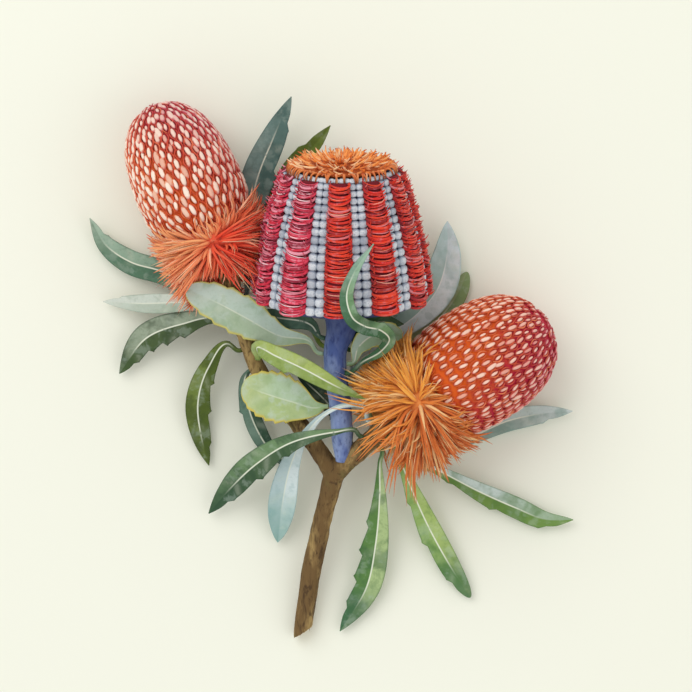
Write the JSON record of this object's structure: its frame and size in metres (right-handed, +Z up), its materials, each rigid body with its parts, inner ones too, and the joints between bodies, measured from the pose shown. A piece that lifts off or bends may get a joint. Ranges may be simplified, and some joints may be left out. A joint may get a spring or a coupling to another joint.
{
  "type": "banksia flower branch",
  "caption": "Cut banksia branch lying down, with domed and cone-shaped flower heads in red, orange and grey on a forked brown stem with toothed leaves",
  "frame": {"origin": "on the resting surface, under the middle of the branch's outline", "axes": "+Y from the cut end of the stem towards the flower heads, +Z up from the resting surface, +X to the right when seen from above"},
  "size_m": [0.2451, 0.274, 0.0944],
  "materials": {
    "bark": "matt brown bark with darker patches",
    "stalk_skin": "matt, blue-grey with a dusty bloom",
    "grey_flowers": "matt, pale blue-grey down with indigo gaps",
    "red_styles": "satin scarlet and crimson loops",
    "crown_stubs": "matt orange with brown tips",
    "left_cone_flowers": "matt, white and pink dashes on orange red",
    "right_cone_flowers": "matt, white and pink dashes on orange red and crimson",
    "left_fringe_styles": "satin orange red, peach at the left",
    "right_fringe_styles": "satin golden orange, red brown below",
    "leaf_blue_green": "satin dark blue-green",
    "leaf_olive": "satin olive green with a pale midrib",
    "leaf_green": "satin fresh green with a pale midrib",
    "leaf_dark": "satin dark green",
    "leaf_pale": "matt pale blue-green with yellow-green teeth"
  },
  "bodies": {
    "root": {"stem_wood": "bark", "centre_stalk": "stalk_skin", "centre_head_flowers": "grey_flowers", "centre_head_crown": "crown_stubs", "red_styles_00": "red_styles", "red_styles_01": "red_styles", "red_styles_02": "red_styles", "red_styles_03": "red_styles", "red_styles_04": "red_styles", "red_styles_05": "red_styles", "red_styles_06": "red_styles", "red_styles_07": "red_styles", "red_styles_08": "red_styles", "red_styles_09": "red_styles", "red_styles_10": "red_styles", "left_head_cone": "left_cone_flowers", "right_head_cone": "right_cone_flowers", "left_head_fringe": "left_fringe_styles", "right_head_fringe": "right_fringe_styles", "leaf_blue_top": "leaf_blue_green", "leaf_olive_top": "leaf_olive", "leaf_curling_left": "leaf_blue_green", "leaf_pale_left": "leaf_pale", "leaf_olive_left": "leaf_olive", "leaf_hanging_left": "leaf_olive", "leaf_broad_upper": "leaf_pale", "leaf_green_across": "leaf_green", "leaf_dark_hanging": "leaf_dark", "leaf_broad_lower": "leaf_pale", "leaf_dark_behind": "leaf_dark", "leaf_long_lower": "leaf_green", "leaf_pale_lower": "leaf_pale", "leaf_hanging_centre": "leaf_green", "leaf_hanging_right": "leaf_green", "leaf_right_low": "leaf_green", "leaf_right_small": "leaf_blue_green", "leaf_pale_behind": "leaf_pale", "leaf_olive_behind": "leaf_olive", "leaf_curled_front": "leaf_green", "leaf_broad_right": "leaf_pale", "leaf_dark_left": "leaf_dark", "leaf_dark_right": "leaf_dark"}
  },
  "joints": []
}
